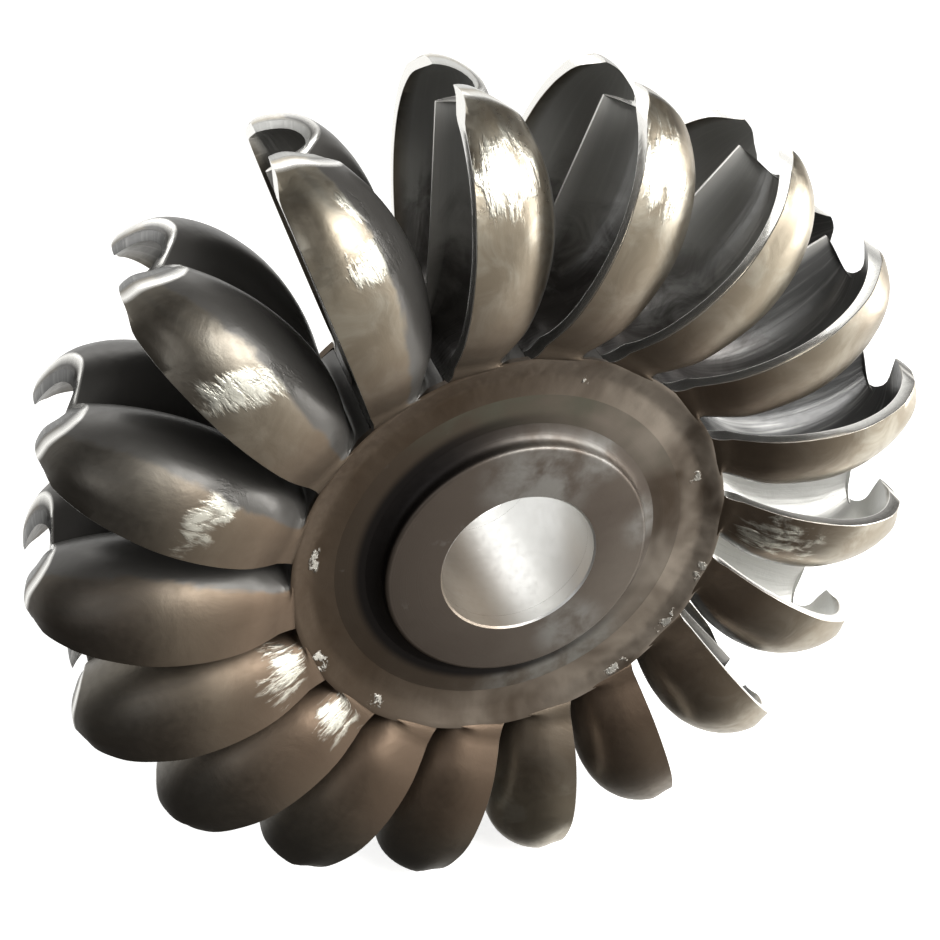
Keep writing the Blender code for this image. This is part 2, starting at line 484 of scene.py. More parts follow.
@dataclass(frozen=True)
class TurnedFinish:
    """Satin turned steel with turning marks, brown stains, a few bright scrapes, painted shade and
    highlights.
    """

    name: str
    base: Colour
    stain: Colour
    scuff_and_highlight: Colour
    gloss: float
    marks: float
    foot_shade: Colour = (0.020, 0.018, 0.018)
    # Painted shade at the hub ring's foot, darkest on the left: radii where it starts, is full,
    # is still full and ends, past the wheel for none
    foot_shade_radii: tuple[float, float, float, float] = (2.0, 2.1, 2.2, 2.3)
    # Painted highlights with rough edges: their middle and radius
    highlight_spots: tuple[tuple[Place, float], ...] = ()
    # How strong green is at the top, and tan at the lower left
    green: Colour = (0.150, 0.155, 0.120)
    greenish: float = 0.0
    tan: Colour = (0.28, 0.225, 0.17)
    tanned: float = 0.0

    def material(self) -> bpy.types.Material:
        """Builds the material.

        Returns:
            The material.
        """
        tree = Tree(bpy.data.materials.new(self.name))
        clouds = tree.noise(6.0, 3.0, 0.5, 0.5)
        drift = tree.noise(2.2, 2.0, 0.5, 0.2)
        specks = tree.noise(70.0, 4.0, 0.6)
        scuffs = tree.noise(22.0, 4.0, 0.55, 0.2)
        # Stains in clouds, with painted shade towards the left of the wheel
        colour = tree.stained_and_shaded(clouds, self.base, self.stain)
        colour = tree.mix(tree.step(drift, 0.42, 0.70, (0.0, 0.4)), colour, self.stain)
        low = tree.step(tree.facing((-0.80, 0.0, -0.60)), 0.03, 0.11, (0.0, self.tanned))
        colour = tree.mix(low, colour, self.tan)
        high = tree.step(tree.facing((0.2, 0.0, 1.0)), 0.16, 0.28, (0.0, self.greenish))
        high = tree.sum("MULTIPLY", high, tree.step(clouds, 0.35, 0.60))
        colour = tree.mix(high, colour, self.green)
        colour = tree.mix(tree.step(scuffs, 0.66, 0.80, (0.0, 0.45)), colour, self.scuff_and_highlight)
        # Painted highlights: rough-edged bright patches in the same colour as the scrapes
        for middle, reach in self.highlight_spots:
            spot = tree.sum("MULTIPLY", tree.near(middle, reach), tree.step(scuffs, 0.28, 0.66))
            colour = tree.mix(spot, colour, self.scuff_and_highlight)
        # Painted shade: the foot of the hub ring darkens, a little all round and most on the left
        radius = tree.radius()
        begins, full, still, ends = self.foot_shade_radii
        foot_shade_mask = tree.step(radius, begins, full)
        foot_shade_mask = tree.sum("MULTIPLY", foot_shade_mask, tree.step(radius, still, ends, (1.0, 0.0)))
        side = tree.step(tree.facing((-0.94, 0.0, -0.34)), -0.22, 0.09, (0.12, 0.96))
        colour = tree.mix(tree.sum("MULTIPLY", foot_shade_mask, side), colour, self.foot_shade)
        rough = tree.step(specks, 0.30, 0.80, (self.gloss - 0.04, self.gloss + 0.08))
        tree.surface(Base_Color=colour, Roughness=rough, Metallic=0.85)
        tree.bump(((clouds, 0.0010), (tree.rings(self.marks), 0.00008), (specks, 0.00010)))
        return tree.owner


@dataclass(frozen=True)
class WeldFinish:
    """Brown ground weld metal like the disc, with a few bright lumps at the joints."""

    name: str = "weld_steel"
    base: Colour = (0.680, 0.600, 0.510)
    stain: Colour = (0.090, 0.064, 0.043)
    crest: Colour = (0.74, 0.72, 0.66)

    def material(self) -> bpy.types.Material:
        """Builds the material.

        Returns:
            The material.
        """
        tree = Tree(bpy.data.materials.new(self.name))
        clouds = tree.noise(6.0, 3.0, 0.5, 0.5)
        lumps = tree.noise(75.0, 4.0, 0.6, 0.4)
        fine = tree.noise(120.0, 4.0, 0.6)
        bright = tree.sum("MULTIPLY", tree.attribute(Mark.GROUND), tree.step(lumps, 0.38, 0.62))
        bright = tree.step(bright, 0.20, 0.55)
        # Painted shade towards the left of the wheel, over the stains
        colour = tree.mix(bright, tree.stained_and_shaded(clouds, self.base, self.stain), self.crest)
        rough = tree.step(fine, 0.3, 0.8, (0.36, 0.48))
        tree.surface(Base_Color=colour, Roughness=rough, Metallic=0.88)
        beads = tree.sum("MULTIPLY", bright, lumps)
        tree.bump(((clouds, 0.0010), (beads, 0.0040), (fine, 0.0002)))
        return tree.owner


@dataclass(frozen=True)
class WearAndLight:
    """How one bucket is worn, and its painted light and shade.

    shine_in is painted sheen that brightens its cups and shine_out its shell, warm browns it,
    dull darkens its tip, back is where round the shell, from 0 at the ridge to 1, its dark
    back starts, painted shade for the next bucket's dark cup, and soot is painted shade that
    blackens its cups near the root.
    """

    shine_in: float
    shine_out: float
    warm: float
    dull: float = 0.0
    back: float = 0.735
    soot: float = 0.0


WEAR_AND_LIGHT: tuple[WearAndLight, ...] = (
    WearAndLight(0.80, 0.90, 0.45, 0.05),
    WearAndLight(0.00, 0.95, 0.35),
    WearAndLight(0.10, 0.50, 0.60, 0.30, soot=0.75),
    WearAndLight(0.62, 0.65, 0.40, soot=0.90),
    WearAndLight(0.66, 0.80, 0.40, soot=0.90),
    WearAndLight(0.66, 1.00, 0.35, soot=0.80),
    WearAndLight(0.40, 0.75, 0.35, 0.15, 0.680, 0.50),
    WearAndLight(0.05, 0.55, 0.45, 0.70, 0.690),
    WearAndLight(0.05, 0.25, 0.70, 0.90, 0.695),
    WearAndLight(0.05, 0.08, 1.00, 0.75, 0.725),
    WearAndLight(0.05, 0.15, 0.90, 0.80, NOWHERE),
    WearAndLight(0.05, 0.10, 0.95, 0.90, NOWHERE),
    WearAndLight(0.05, 0.05, 1.00, 0.95, NOWHERE),
    WearAndLight(0.05, 0.00, 1.00, 1.00, NOWHERE),
    WearAndLight(0.05, 0.90, 0.15, 0.00, NOWHERE),
    WearAndLight(0.10, 0.15, 0.95, 0.55, NOWHERE),
    WearAndLight(0.20, 0.60, 0.50, 0.05, NOWHERE),
    WearAndLight(1.00, 0.60, 0.55, 0.05),
)


@dataclass(frozen=True)
class GlarePatch:
    """A painted highlight: a bright patch with rough edges on the front of a bucket's shell.

    reach runs from 0 at the tip to 1 at the root, and around from 0 at the ridge to 1 at
    the middle of the back.
    """

    bucket: int
    reach: float
    around: float
    long: float
    wide: float
    slant: float = 0.0
    strength: float = 1.0


# Painted highlights on the shells, bucket by bucket
GLARE_PATCHES: tuple[GlarePatch, ...] = (
    GlarePatch(7, 0.15, 0.700, 0.09, 0.040),
    GlarePatch(7, 0.33, 0.665, 0.12, 0.095),
    GlarePatch(8, 0.42, 0.635, 0.13, 0.125, 1.3),
    GlarePatch(9, 0.58, 0.640, 0.12, 0.120, 0.7),
    GlarePatch(11, 0.93, 0.660, 0.18, 0.130, strength=0.80),
    GlarePatch(12, 0.97, 0.640, 0.18, 0.120, strength=0.80),
    GlarePatch(6, 0.22, 0.620, 0.20, 0.120),
    GlarePatch(5, 0.20, 0.600, 0.20, 0.100),
    GlarePatch(1, 0.80, 0.620, 0.25, 0.100, strength=0.80),
)


@dataclass(frozen=True)
class Grid:
    """A bucket's points in its own frame, row by row from tip to foot, with their marks.

    around runs from 0 at the ridge round the rim to 1 at the middle of the back, front is 1
    on the front half, lay holds each point's distances round and along the bucket, and half
    is how many points of a row the front half has.
    """

    points: np.ndarray
    marks: dict[Mark, np.ndarray]
    around: np.ndarray
    front: np.ndarray
    lay: np.ndarray
    half: int


@dataclass(frozen=True)
class BucketShape:
    """The sizes of one double cup, the same as the solid's.

    s runs inward from the horn tips along the mouth plane, v is the distance from the
    middle plane and w is the depth behind the mouth plane.
    """

    tip_radius: float = 0.760
    lean: float = math.radians(10.0)
    ridge_drop: float = 0.003
    ridge_half: float = 0.0028
    inner_fullness: float = 2.3
    outer_fullness: float = 2.2
    root_fullness: float = 3.2
    foot_fullness: float = 12.0
    back_groove: float = 0.60
    root_turn: float = math.radians(1.7)
    root_half_width: float = 0.125
    collar_radius: float = 0.364
    collar_half_width: float = 0.137
    disc_flat: float = 0.3405
    notch_fade: float = 0.100
    tip_drop: float = 0.012
    tip_round: float = 0.030
    ridge_round: float = 0.0008
    lip: float = 0.0024
    # The lip's round, from its flat: shares of its size across and down, and its last one down
    lip_round: tuple[Point, ...] = ((1.0, 0.0), (0.35, 0.1))
    lip_low: float = 0.4
    # The degrees in which the rim's width turns into the shell's
    flank: float = 22.0
    cup_steps: int = 18
    ridge_steps: int = 3
    rows: int = 46
    # More than 1 crowds the rows at the tip
    crowding: float = 1.25
    flare_rows: int = 7
    # The rings that close the tip: how far across the wall they lie, and their height
    end_rings: tuple[Point, ...] = ((0.42, 0.0024), (0.22, 0.0019), (0.07, 0.0009))
    # How bright the shell's edge is in the first rows at the tip
    tip_line: tuple[float, ...] = (0.0, 0.6, 1.0, 0.8)
    # How much further than the cup the foot reaches, as a share
    foot_reach: float = 0.14
    # The row of stations where the cup is widest
    widest: int = 7
    # (s, half width of the rim, of the shell, of the mouth, outer depth, inner depth)
    stations: tuple[tuple[float, ...], ...] = (
        (0.000, 0.094, 0.109, 0.050, 0.064, 0.036),
        (0.010, 0.117, 0.131, 0.074, 0.077, 0.052),
        (0.024, 0.141, 0.156, 0.103, 0.090, 0.069),
        (0.044, 0.164, 0.178, 0.133, 0.104, 0.085),
        (0.074, 0.189, 0.197, 0.163, 0.120, 0.102),
        (0.114, 0.208, 0.212, 0.187, 0.134, 0.115),
        (0.164, 0.222, 0.222, 0.201, 0.143, 0.122),
        (0.214, 0.223, 0.223, 0.202, 0.144, 0.121),
        (0.266, 0.214, 0.214, 0.192, 0.137, 0.110),
        (0.312, 0.197, 0.197, 0.174, 0.123, 0.086),
        (0.348, 0.174, 0.174, 0.150, 0.105, 0.052),
        (0.370, 0.157, 0.157, 0.128, 0.096, 0.020),
    )
    # How far the notch is cut in, from the ridge (0) to the rim (1)
    notch: tuple[Point, ...] = (
        (0.0, 0.037),
        (1 / 6, 0.037),
        (1 / 3, 0.032),
        (1 / 2, 0.018),
        (2 / 3, 0.004),
        (5 / 6, 0.0),
        (1.0, 0.0),
    )
    # Where the shell's angle is level with a share of the cup's outline
    sides: tuple[Point, ...] = (
        (0.0, 150.0),
        (1 / 3, 90.0),
        (1 / 2, 65.0),
        (2 / 3, 40.0),
        (5 / 6, 20.0),
        (1.0, 0.0),
    )

    def length(self) -> float:
        """How long the cup is in its mouth plane."""
        return self.stations[-1][0]

    def outline(self, s: float, squareness: float = 0.0) -> list[tuple[float, float, float]]:
        """Half the outline at s, from the ridge round the rim to the back.

        Args:
            s: the station.
            squareness: the shell's, its own at s if it is 0.

        Returns:
            Points (v, w, share), where share runs from 0 at the middle to 1 at the rim.
        """
        rim, shell, mouth, outer, inner = (curve(self.stations, i, s) for i in range(1, 6))
        start = self.stations[self.widest][0]
        rooted = eased((s - start) / (self.length() - start))
        fullness = self.outer_fullness + (self.root_fullness - self.outer_fullness) * rooted**2
        fullness = squareness or fullness
        groove = self.back_groove + (1.0 - self.back_groove) * rooted
        drop = self.ridge_drop * (1.0 - rooted)
        middle = (mouth + self.ridge_half) / 2.0
        reach = (mouth - self.ridge_half) / 2.0

        def hump(along: float) -> Point:
            """A point of the back, from a cup's deepest line (0) to the middle plane (1)."""
            high = groove + (1.0 - groove) * math.cos(math.pi / 2.0 * along)
            return shell / 2.0 * (1.0 - along), outer * high

        path = []
        for i in range(self.ridge_steps):
            share = i / self.ridge_steps
            path.append((self.ridge_half * share, drop + self.ridge_round * share**2, 0.0))
        for i in range(self.cup_steps + 1):
            turn = math.pi * i / self.cup_steps
            across, down = bulge(min(turn, math.pi - turn), self.inner_fullness)
            v = middle - reach * across if turn < math.pi / 2.0 else middle + reach * across
            left = 1.0 - (v - self.ridge_half) / (mouth - self.ridge_half)
            low = self.lip_low * self.lip if i == self.cup_steps else 0.0
            path.append((v, max(inner * down + drop * left, low), i / self.cup_steps))
        lip = [(a * self.lip, b * self.lip) for a, b in self.lip_round]
        path += [(mouth + a, b, 1.0) for a, b in lip[::-1]]
        path += [(rim - a, b, 1.0) for a, b in lip]
        for i in range(self.cup_steps, -1, -1):
            share = i / self.cup_steps
            if share < THIRD:
                v, w = hump(2.0 / 3.0 * (1.0 - 3.0 * share))
            else:
                angle = float(np.interp(share, *zip(*self.sides)))
                across, down = bulge(math.radians(angle), fullness)
                v = (rim + (shell - rim) * eased(angle / self.flank)) / 2.0 * (1.0 + across)
                w = max(outer * down, self.lip_low * self.lip if share == 1.0 else 0.0)
            path.append((v, w, share))
        for i in range(self.ridge_steps - 1, -1, -1):
            path.append((*hump(2.0 / 3.0 + (1.0 - i / self.ridge_steps) / 3.0), 0.0))
        return path

    def in_wheel(self, s: float, v: float, w: float) -> Place:
        """From the mouth plane to the wheel: X outward, Y along the axis, Z round."""
        cos, sin = math.cos(self.lean), math.sin(self.lean)
        return (self.tip_radius - s * cos - w * sin, -v, s * sin - w * cos)

    def cup_ring(self, s: float) -> np.ndarray:
        """The half outline at station s, bent in at the notch.

        Args:
            s: the station.

        Returns:
            Its points.
        """
        kept = 1.0 - eased(s / self.notch_fade)
        ring = []
        for i, (_, _, share) in enumerate(self.outline(s)):
            at = s + curve(self.notch, 1, share) * kept
            v, w, _ = self.outline(at)[i]
            rounded = self.tip_drop * (1.0 - eased(at / self.tip_round))
            ring.append(self.in_wheel(at, v, max(w, rounded)))
        return np.array(ring)

    def foot_ring(self, radius: float, half_width: float) -> np.ndarray:
        """The half outline of the flat-sided foot, which fills its share of the wheel there.

        Args:
            radius: how far out it is.
            half_width: half its width along the axis.

        Returns:
            Its points.
        """
        reach = radius * math.tan(PITCH / 2.0) - SEAT_GAP
        path = np.array(self.outline(self.length(), self.foot_fullness))
        depth = path[:, 1].max()
        path[: len(path) // 2 - 1, 1] = 0.0
        y = -path[:, 0] * half_width / path[:, 0].max()
        z = reach * (1.0 - 2.0 * path[:, 1] / depth)
        return turned(np.stack((np.full_like(z, radius), y, z), axis=1), self.root_turn)

    def rings(self) -> tuple[np.ndarray, np.ndarray]:
        """Every half outline from tip to foot, with the rounded end first.

        Returns:
            The rings, and each one's share of the way from tip to foot.
        """
        steps = [(i / self.rows) ** self.crowding for i in range(self.rows + 1)]
        stations = [self.length() * step for step in steps]
        cups = [self.cup_ring(s) for s in stations]
        tip = cups[0]
        outward = np.array((math.cos(self.lean), 0.0, -math.sin(self.lean)))
        ends = [tip + (tip[::-1] - tip) * share + outward * lift for share, lift in self.end_rings]
        collar = self.foot_ring(self.collar_radius, self.collar_half_width)
        slope = (cups[-1] - cups[-2]) / np.linalg.norm(cups[-1] - cups[-2], axis=1).mean()
        gap = float(np.linalg.norm(collar - cups[-1], axis=1).mean())
        feet = []
        for i in range(1, self.flare_rows + 1):
            share = i / self.flare_rows
            led = cups[-1] + slope * gap * share * (1.0 - share)
            feet.append(led + (collar - led) * np.array((share, share**2, share**2)))
        feet.append(self.foot_ring(self.disc_flat + SEAT_GAP, self.root_half_width))
        reach = [0.0] * len(ends) + [s / self.length() for s in stations]
        reach += [1.0 + self.foot_reach * (i + 1) / len(feet) for i in range(len(feet))]
        return np.array(ends + cups + feet), np.array(reach)

    def grid(self) -> Grid:
        """The whole bucket, both halves, as closed rings with marks.

        Returns:
            The grid.
        """
        half, reach = self.rings()
        rows, count, _ = half.shape
        mirrored = half[:, count - 2 : 0 : -1] * np.array((1.0, -1.0, 1.0))
        points = np.concatenate((half, mirrored), axis=1)
        inner = self.ridge_steps + self.cup_steps + 1
        outer = inner + 2 * len(self.lip_round)
        index = np.concatenate((np.arange(count), np.arange(count - 2, 0, -1)))
        wide = np.ones((rows, 1))
        tip = np.zeros((rows, 1))
        tip[: len(self.tip_line), 0] = self.tip_line
        marks = {
            Mark.INSIDE: wide * ((index >= self.ridge_steps) & (index < inner - 1)),
            Mark.BAND: np.maximum((index >= inner) & (index < outer), tip * (index >= outer)),
            Mark.EDGE: wide * (index <= self.ridge_steps),
            Mark.REACH: reach[:, None] * np.ones(len(index)),
        }
        # The lay runs from tip to root, as wide apart as at the cup's middle
        steps = np.linalg.norm(np.diff(half[rows // 2], axis=0), axis=1)
        across = np.concatenate(((0.0,), np.cumsum(steps)))[index] * wide
        lay = np.stack((across, marks[Mark.REACH] * self.length()), axis=2)
        front = np.arange(len(index)) < count
        return Grid(points, marks, index / (count - 1.0), front, lay, count)


def turned(points: np.ndarray, turn: float) -> np.ndarray:
    """Turns points about the wheel's axis.

    Args:
        points: an array whose last axis is x, y, z.
        turn: the angle from +X towards +Z.

    Returns:
        The turned points.
    """
    cos, sin = math.cos(turn), math.sin(turn)
    made = points.copy()
    made[..., 0] = cos * points[..., 0] - sin * points[..., 2]
    made[..., 2] = sin * points[..., 0] + cos * points[..., 2]
    return made


def piece(
    name: str,
    points: np.ndarray,
    faces: Sequence[Sequence[int]],
    material: bpy.types.Material,
) -> bpy.types.Object:
    """Makes a piece from points and faces, riding on the wheel.

    Args:
        name: the piece's name.
        points: its vertices.
        faces: lists of vertex numbers.
        material: its finish.

    Returns:
        The piece.
    """
    mesh = bpy.data.meshes.new(name)
    mesh.from_pydata(points.reshape(-1, 3).tolist(), [], faces)
    mesh.validate()
    mesh.update()
    mesh.materials.append(material)
    mesh.shade_smooth()
    mesh.set_sharp_from_angle(angle=SHARP)
    made = bpy.data.objects.new(name, mesh)
    bpy.context.scene.collection.objects.link(made)
    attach(made, BODY)
    return made


def keep(mesh: bpy.types.Mesh, mark: Mark, values: np.ndarray) -> None:
    """Keeps a value for each vertex on a mesh."""
    made = mesh.attributes.new(mark.value, "FLOAT", "POINT")
    made.data.foreach_set("value", values.astype(np.float32).reshape(-1))


def ring_faces(rows: int, count: int, close_rows: bool = False) -> list[tuple[int, int, int, int]]:
    """Quads between rows of points that each close on themselves.

    Args:
        rows: how many rows there are.
        count: how many points each has.
        close_rows: whether the last row joins the first.

    Returns:
        The quads.
    """
    faces = []
    for row in range(rows if close_rows else rows - 1):
        near = row * count
        far = (row + 1) % rows * count
        for i in range(count):
            k = (i + 1) % count
            faces.append((near + i, far + i, far + k, near + k))
    return faces


@dataclass
class Buckets:
    """All the double cups."""

    shape: BucketShape = field(default_factory=BucketShape)
    finish: CupFinish = field(default_factory=CupFinish)
    # The painted dark back's edge, painted shade for the next bucket's dark cup reflected there:
    # how far it slants from tip to root, and how soft it is
    back_shade_slant: float = 0.07
    back_shade_fade: float = 0.060

    def faces(self, grid: Grid) -> list[Sequence[int]]:
        """The faces of one bucket: its walls and both its ends.

        Args:
            grid: the bucket's points.

        Returns:
            The faces.
        """
        rows, count, _ = grid.points.shape
        faces: list[Sequence[int]] = list(ring_faces(rows, count))
        last = grid.half - 1
        for base, end in ((0, 1), ((rows - 1) * count, -1)):
            for side in (1, -1):
                for i in range(last // 2):
                    quad = [side * j % count + base for j in (i, i + 1, last - i - 1, last - i)]
                    if side != end:
                        quad.reverse()
                    faces.append(quad)
        return faces

    def build(self) -> list[bpy.types.Object]:
        """Builds every bucket in its place.

        Returns:
            The buckets.
        """
        grid = self.shape.grid()
        faces = self.faces(grid)
        material = self.finish.material()
        made = []
        for number, wear_and_light in enumerate(WEAR_AND_LIGHT, 1):
            node = f"bucket_{number:02d}"
            points = turned(grid.points, PITCH * (number - 1))
            bucket = piece(f"{node}_cups", points, faces, material)
            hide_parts(node)
            self.dress(bucket, grid, wear_and_light, [patch for patch in GLARE_PATCHES if patch.bucket == number])
            made.append(bucket)
        return made

    def dress(
        self, bucket: bpy.types.Object, grid: Grid, wear_and_light: WearAndLight, patches: Sequence[GlarePatch]
    ) -> None:
        """Writes a bucket's marks, how it is worn and its painted light and shade on its mesh.

        Args:
            bucket: the bucket.
            grid: its points and marks.
            wear_and_light: how it is worn, and its painted light and shade.
            patches: where its shell has painted highlights.
        """
        mesh = bucket.data
        reach = grid.marks[Mark.REACH]
        values = dict(grid.marks)
        for mark in (Mark.SHINE_IN, Mark.SHINE_OUT, Mark.WARM, Mark.DULL, Mark.SOOT):
            values[mark] = np.full_like(reach, getattr(wear_and_light, mark.value))
        starts = wear_and_light.back + self.back_shade_slant * (0.5 - reach)
        values[Mark.BACK] = np.clip(0.5 + (grid.around - starts) / self.back_shade_fade, 0.0, 1.0)
        values[Mark.GROUND] = np.zeros_like(reach)
        for patch in patches:
            aside = grid.around - patch.around
            off = (reach - patch.reach - patch.slant * aside) / patch.long
            spot = np.clip(1.0 - off**2 - (aside / patch.wide) ** 2, 0.0, 1.0)
            spot *= patch.strength * grid.front
            values[Mark.GROUND] = np.maximum(values[Mark.GROUND], spot)
        for mark, array in values.items():
            keep(mesh, mark, array)
        corner = np.empty(len(mesh.loops), np.int32)
        mesh.loops.foreach_get("vertex_index", corner)
        lay = grid.lay.reshape(-1, 2)[corner].astype(np.float32)
        mesh.uv_layers.new(name="lay").uv.foreach_set("vector", lay.reshape(-1))


@dataclass
class Lathe:
    """A part turned about the wheel's axis from a closed profile of (radius, y) points."""

    sides: int = 216

    def build(
        self,
        name: str,
        profile: Sequence[Point],
        material: bpy.types.Material,
        slot: Slot,
        lift: Callable[[float, int], float] = lambda angle, k: 0.0,
    ) -> bpy.types.Object:
        """Makes the turned piece, facing outward.

        Args:
            name: its name.
            profile: (radius, y) points.
            material: its finish.
            slot: the record's slot; not used.
            lift: what is added to a point's y, from its angle and its number in the profile.

        Returns:
            The piece.
        """
        points = []
        for i in range(self.sides):
            angle = math.tau * i / self.sides
            cos, sin = math.cos(angle), math.sin(angle)
            points += [(r * cos, y + lift(angle, k), r * sin) for k, (r, y) in enumerate(profile)]
        path = np.array(profile)
        area = np.sum(path[:, 0] * np.roll(path[:, 1], -1) - np.roll(path[:, 0], -1) * path[:, 1])
        faces = ring_faces(self.sides, len(profile), close_rows=True)
        if area > 0.0:
            faces = [face[::-1] for face in faces]
        return piece(name, np.array(points), faces, material)


def arc(centre: Point, radius: float, start: float, end: float, steps: int) -> list[Point]:
    """Points on an arc of a circle, in the profile's plane.

    Args:
        centre: its centre.
        radius: its radius.
        start: the first angle in degrees.
        end: the last angle in degrees.
        steps: how many parts it has.

    Returns:
        The points.
    """
    made = []
    for i in range(steps + 1):
        angle = math.radians(start + (end - start) * i / steps)
        made.append((centre[0] + radius * math.cos(angle), centre[1] + radius * math.sin(angle)))
    return made


@dataclass
class Centre:
    """The disc and the raised hub ring on each of its faces."""

    bore: float = 0.131
    rim: float = 0.3440
    edge: float = 0.006
    hub_face: float = 0.225
    hub_foot: float = 0.250
    hub_height: float = 0.0305
    chamfer: float = 0.003
    round: float = 0.0070
    # The hollow foot of the hub ring: its steps, and how sharply it turns
    fillet_steps: int = 12
    fillet_turn: float = 3.8
    lathe: Lathe = field(default_factory=Lathe)
    disc_finish: TurnedFinish = TurnedFinish(
        "disc_steel_stained",
        (0.430, 0.385, 0.330),
        (0.098, 0.074, 0.054),
        (0.36, 0.355, 0.33),
        0.42,
        300.0,
        # Painted shade on the disc round the hub ring's foot, darkest on the left
        foot_shade_radii=(0.130, 0.140, 0.258, 0.276),
        # A painted highlight on the disc's lower right
        highlight_spots=(((0.100, -0.124, -0.260), 0.180),),
        greenish=0.9,
    )
    hub_finish: TurnedFinish = TurnedFinish(
        "hub_steel_stained",
        (0.240, 0.211, 0.180),
        (0.150, 0.124, 0.104),
        (0.34, 0.33, 0.31),
        0.46,
        420.0,
        # Painted shade on the ring's foot, darkest on the left
        foot_shade_radii=(0.2215, 0.2255, 0.400, 0.410),
        # Painted highlights round the ring's top and right side
        highlight_spots=(
            ((0.126, -0.138, 0.189), 0.060),
            ((0.020, -0.154, 0.160), 0.120),
            ((0.100, -0.154, -0.150), 0.080),
            ((0.222, -0.135, 0.040), 0.060),
        ),
    )
    bore_finish: TurnedFinish = TurnedFinish(
        "bore_steel_bright",
        (0.84, 0.84, 0.83),
        (0.80, 0.80, 0.78),
        (0.80, 0.80, 0.79),
        0.40,
        500.0,
        tanned=0.9,
    )

    def disc(self) -> bpy.types.Object:
        """The plain disc.

        Returns:
            The disc.
        """
        w, e = DISC_HALF, self.edge
        profile = [(self.bore, -w)]
        profile += arc((self.rim - e, e - w), e, -90.0, 0.0, 4)
        profile += arc((self.rim - e, w - e), e, 0.0, 90.0, 4)
        profile += [(self.bore, w)]
        made = self.lathe.build("disc_turned", profile, self.disc_finish.material(), Slot.DISC)
        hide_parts("disc")
        self.line_bore(made)
        return made

    def hub(self, face: Face) -> bpy.types.Object:
        """A raised ring.

        Args:
            face: the side of the wheel.

        Returns:
            The ring.
        """
        low = DISC_HALF + SEAT_GAP
        top = DISC_HALF + self.hub_height
        fillet = self.hub_foot - self.hub_face
        profile = [(self.bore, low), (self.hub_foot, low)]
        for i in range(1, self.fillet_steps):
            share = (i / self.fillet_steps) ** 2
            inward = fillet * (1.0 - (1.0 - share) ** self.fillet_turn)
            profile.append((self.hub_foot - inward, low + (self.hub_height - self.round) * share))
        profile += arc((self.hub_face - self.round, top - self.round), self.round, 0.0, 90.0, 4)
        profile += [(self.bore + self.chamfer, top), (self.bore, top - self.chamfer)]
        flipped = [(r, face.value * y) for r, y in profile]
        name = f"hub_{face.name.lower()}"
        made = self.lathe.build(f"{name}_turned", flipped, self.hub_finish.material(), Slot.HUB)
        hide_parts(name)
        self.line_bore(made)
        return made

    def line_bore(self, made: bpy.types.Object) -> None:
        """Gives the faces of the bore their brighter finish.

        Args:
            made: the piece they are on.
        """
        mesh = made.data
        name = self.bore_finish.name
        mesh.materials.append(bpy.data.materials.get(name) or self.bore_finish.material())
        for face in mesh.polygons:
            middle = math.hypot(face.center.x, face.center.z)
            if middle < self.bore + self.chamfer and abs(face.normal.y) < 0.9:
                face.material_index = 1

    def build(self) -> list[bpy.types.Object]:
        """Builds the disc and both rings."""
        return [self.disc(), self.hub(Face.FRONT), self.hub(Face.REAR)]


